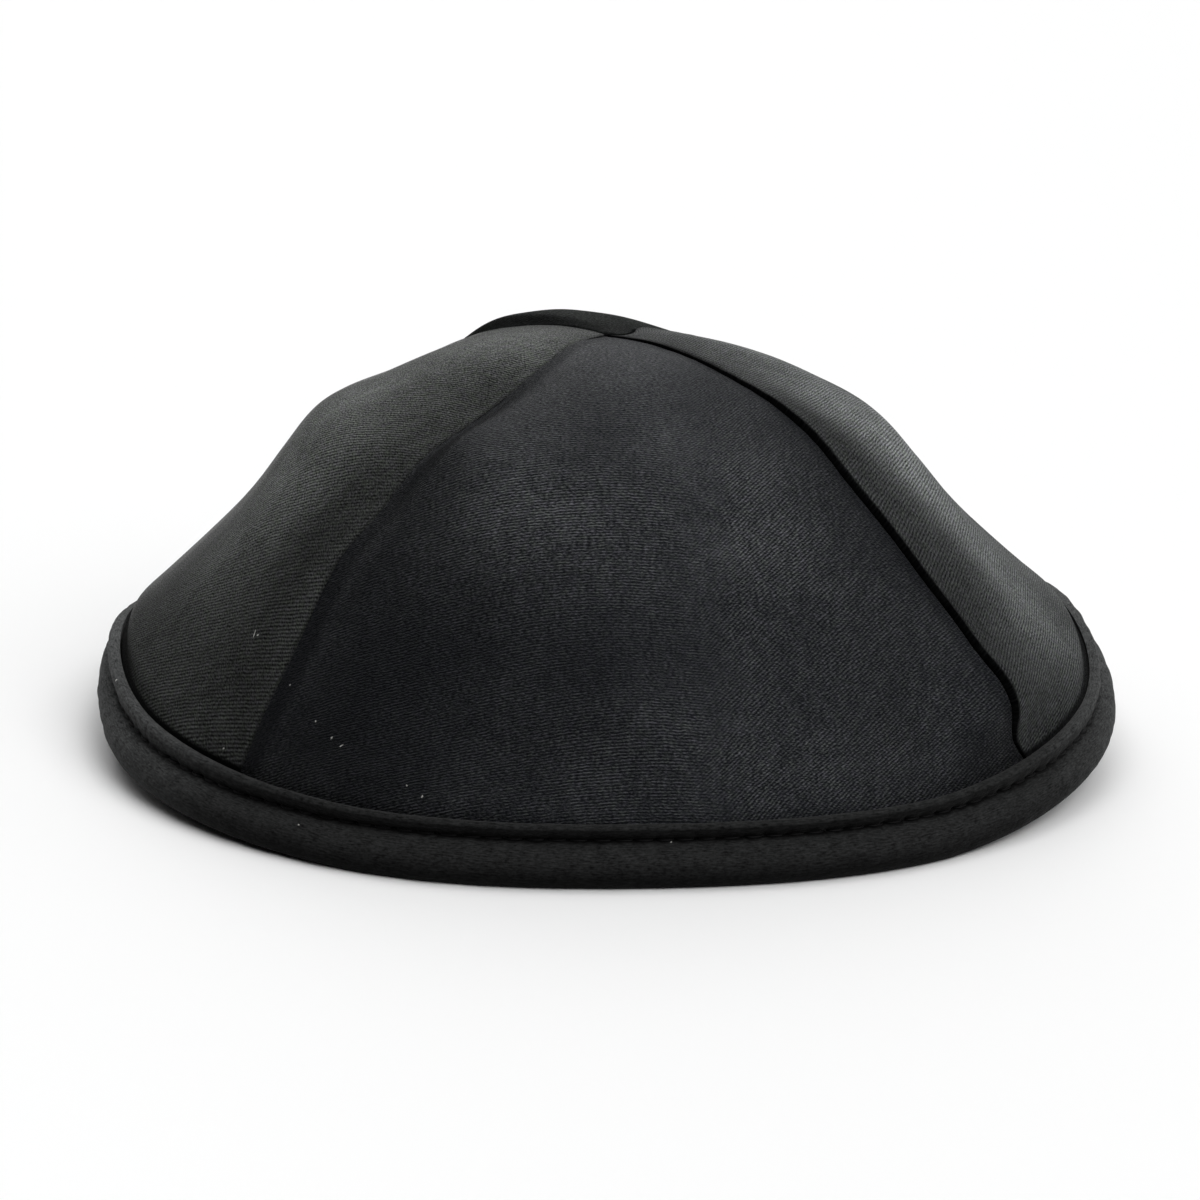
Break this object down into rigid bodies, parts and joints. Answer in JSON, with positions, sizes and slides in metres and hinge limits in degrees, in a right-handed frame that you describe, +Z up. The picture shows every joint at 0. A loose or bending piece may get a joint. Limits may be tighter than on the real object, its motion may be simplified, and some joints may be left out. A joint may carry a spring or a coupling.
{
  "type": "kippah",
  "caption": "Black satin skullcap sewn from wedge panels with a folded binding round its rim, standing on the rim, hollow underneath for the head.",
  "frame": {"origin": "centre of the rim, on the surface that the cap stands on", "axes": "+Z up through the crown; the front panel faces -Y and the right-hand panel faces +X"},
  "size_m": [0.1707, 0.1732, 0.0659],
  "materials": {
    "panel_satin": "black satin with a fine rib weave and a soft sheen",
    "binding_satin": "black satin cut on the bias, duller and slightly crinkled"
  },
  "bodies": {
    "root": {"panel_front": "panel_satin", "panel_right": "panel_satin", "panel_back": "panel_satin", "panel_left": "panel_satin", "rim_binding": "binding_satin"}
  },
  "joints": []
}
